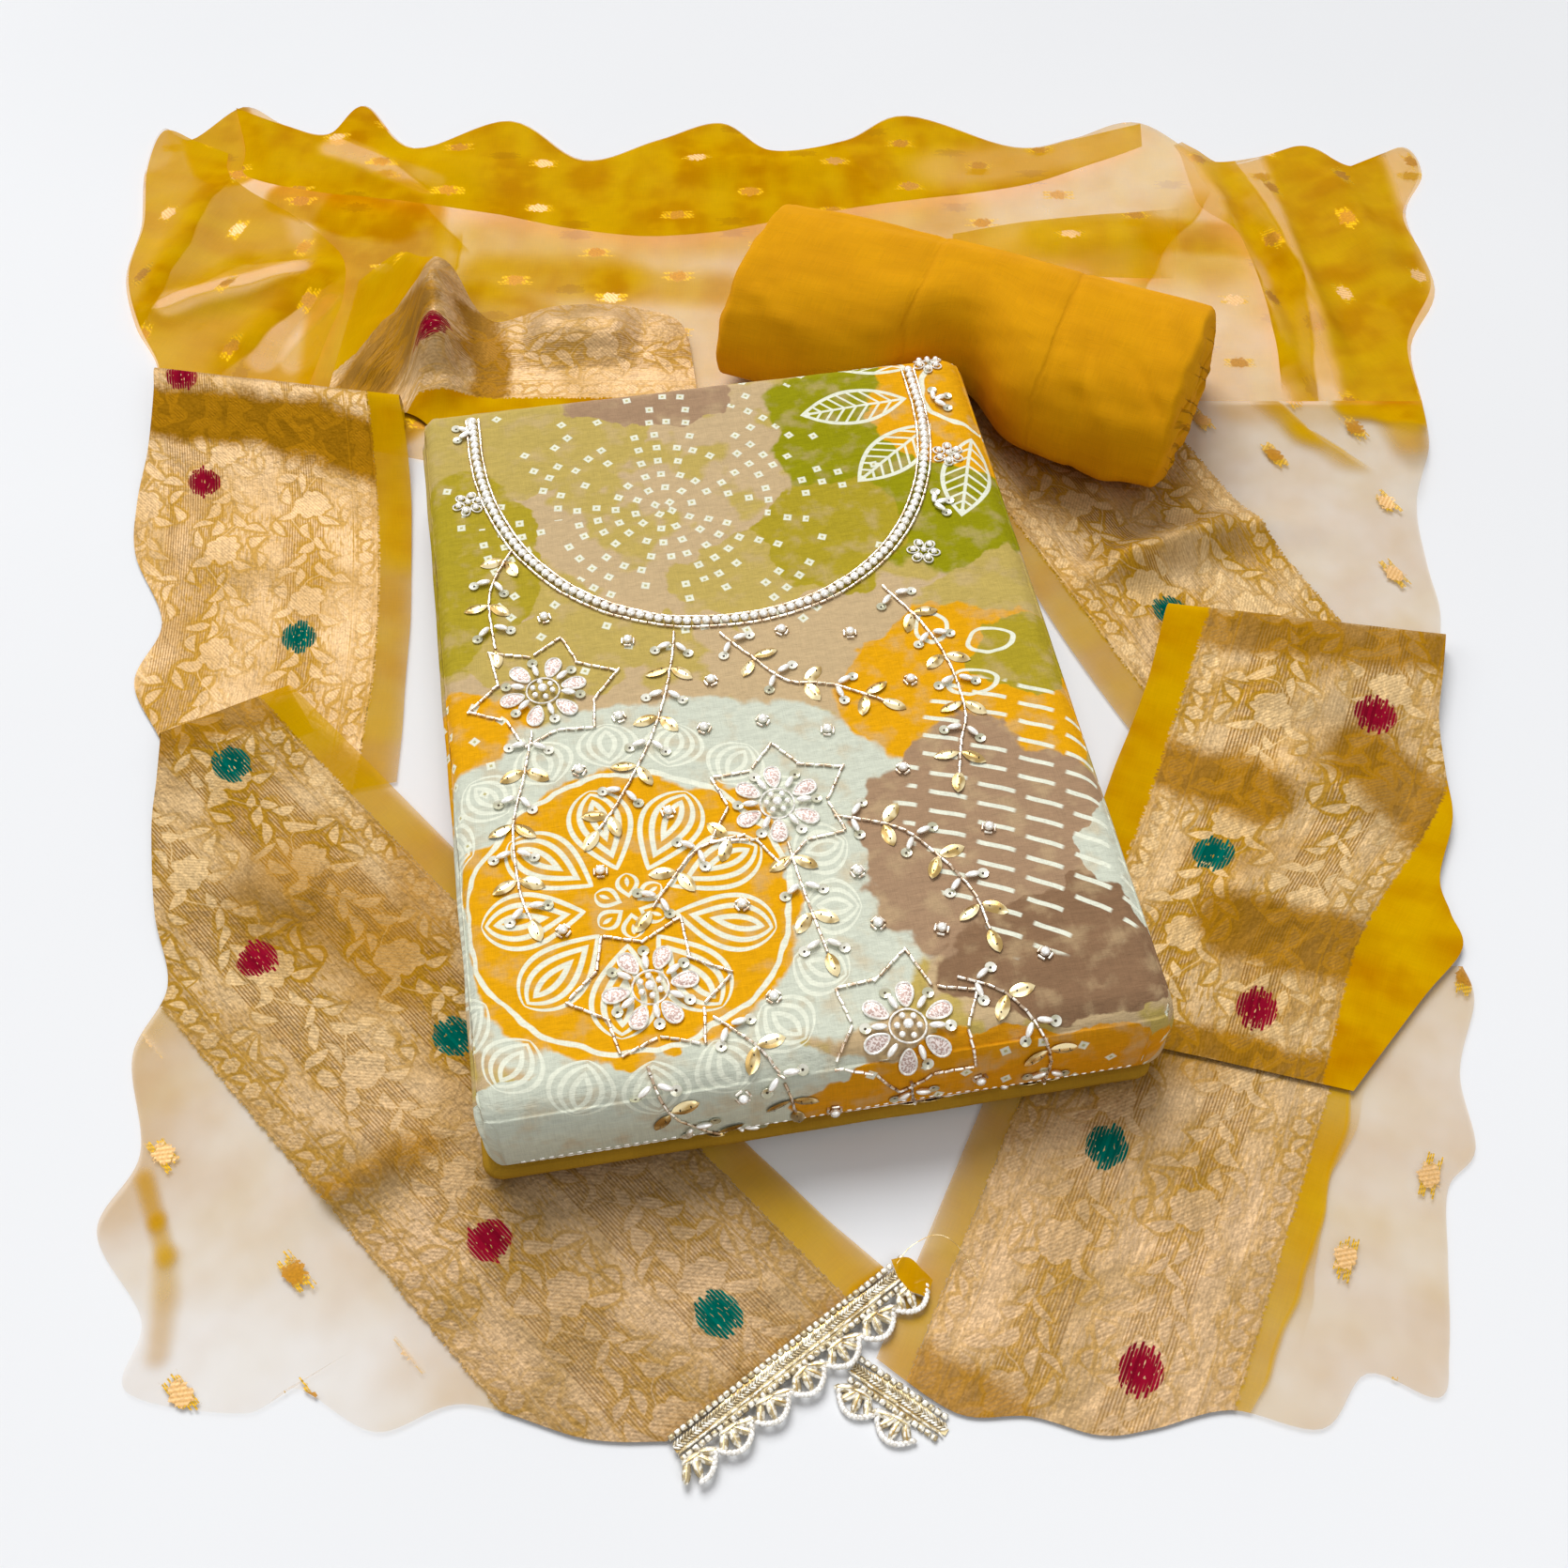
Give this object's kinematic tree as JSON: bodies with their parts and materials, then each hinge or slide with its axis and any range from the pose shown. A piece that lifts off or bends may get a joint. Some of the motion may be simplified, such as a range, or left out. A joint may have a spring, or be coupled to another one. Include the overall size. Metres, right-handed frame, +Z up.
{
  "type": "salwar kameez suit",
  "caption": "Unstitched salwar kameez set laid flat: folded printed kameez cloth with bead trim, rolled salwar cloth and a sheer scarf with woven borders and lace.",
  "frame": {"origin": "middle of the laid-out set, on the surface it lies on", "axes": "+Z up from the surface; +Y towards the salwar bundle at the back; +X to the right as seen from the front"},
  "size_m": [0.6962, 0.7462, 0.0595],
  "materials": {
    "printed_cotton": "soft printed cotton, matte",
    "plain_lining": "plain dyed cotton, matte",
    "salwar_cotton": "plain mustard cotton with slub yarns, matte",
    "pearl_trim": "pearl beads and silver-lined bugle beads, glossy",
    "petal_mesh": "silver mesh petals edged with cord, satin",
    "zari_border": "woven gold zari on mustard organza, satin sheen",
    "organza": "sheer mustard organza with woven gold motifs",
    "silver_lace": "braided silver lace, satin"
  },
  "bodies": {
    "root": {"kameez_folded_pack": "printed_cotton", "kameez_lining": "plain_lining", "salwar_bundle": "salwar_cotton", "neck_trim": "pearl_trim", "bead_flower_1": "petal_mesh", "bead_flower_2": "petal_mesh", "bead_flower_3": "petal_mesh", "bead_flower_4": "petal_mesh", "dupatta_back": "organza", "dupatta_back_band": "organza", "dupatta_left_fold": "organza", "dupatta_short_fold": "organza", "dupatta_right_pleats": "organza", "dupatta_top_gather": "zari_border", "dupatta_right_upper": "zari_border", "dupatta_right_middle": "zari_border", "dupatta_right_lower": "zari_border", "dupatta_left_upper": "zari_border", "dupatta_left_lower": "zari_border", "lace_left": "silver_lace", "lace_right": "silver_lace"}
  },
  "joints": []
}
